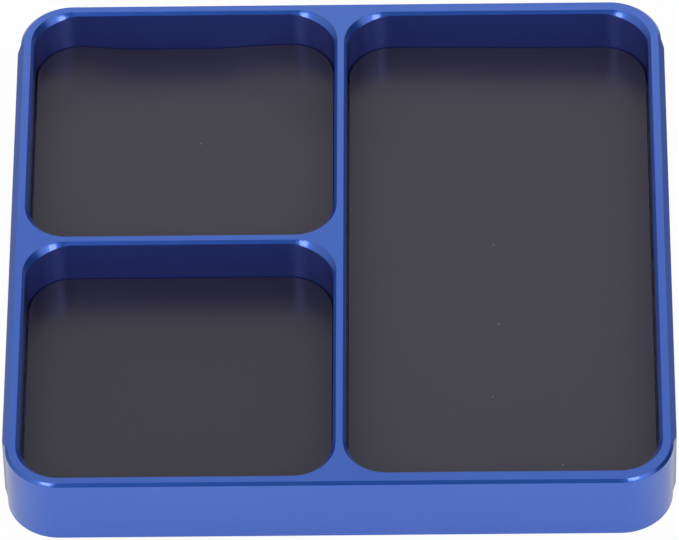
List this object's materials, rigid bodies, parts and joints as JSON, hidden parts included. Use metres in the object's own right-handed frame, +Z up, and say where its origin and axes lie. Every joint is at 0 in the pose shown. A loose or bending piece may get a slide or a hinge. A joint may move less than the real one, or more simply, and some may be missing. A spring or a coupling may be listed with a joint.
{
  "type": "magnetic parts tray",
  "caption": "Square milled aluminium tray with chamfered pockets, each lined with a rubber magnet sheet that holds small steel parts, on rubber feet.",
  "frame": {"origin": "under the middle of the tray, on the surface that the feet stand on", "axes": "+Z up, +Y from the front face to the rear face, +X to the right, towards the full-depth pocket"},
  "size_m": [0.1, 0.099, 0.0128],
  "materials": {
    "anodised_aluminium": "milled, fine bead blast, blue anodised, satin",
    "magnet_rubber": "calendered ferrite rubber, matt charcoal",
    "adhesive": "double-sided acrylic adhesive film",
    "foot_rubber": "moulded, matt black"
  },
  "bodies": {
    "root": {"tray_body": "anodised_aluminium", "magnet_sheet_rear_left": "magnet_rubber", "magnet_sheet_front_left": "magnet_rubber", "magnet_sheet_right": "magnet_rubber", "adhesive_film_rear_left": "adhesive", "adhesive_film_front_left": "adhesive", "adhesive_film_right": "adhesive", "foot_front_left": "foot_rubber", "foot_front_right": "foot_rubber", "foot_rear_left": "foot_rubber", "foot_rear_right": "foot_rubber", "foot_adhesive_front_left": "adhesive", "foot_adhesive_front_right": "adhesive", "foot_adhesive_rear_left": "adhesive", "foot_adhesive_rear_right": "adhesive"}
  },
  "joints": []
}
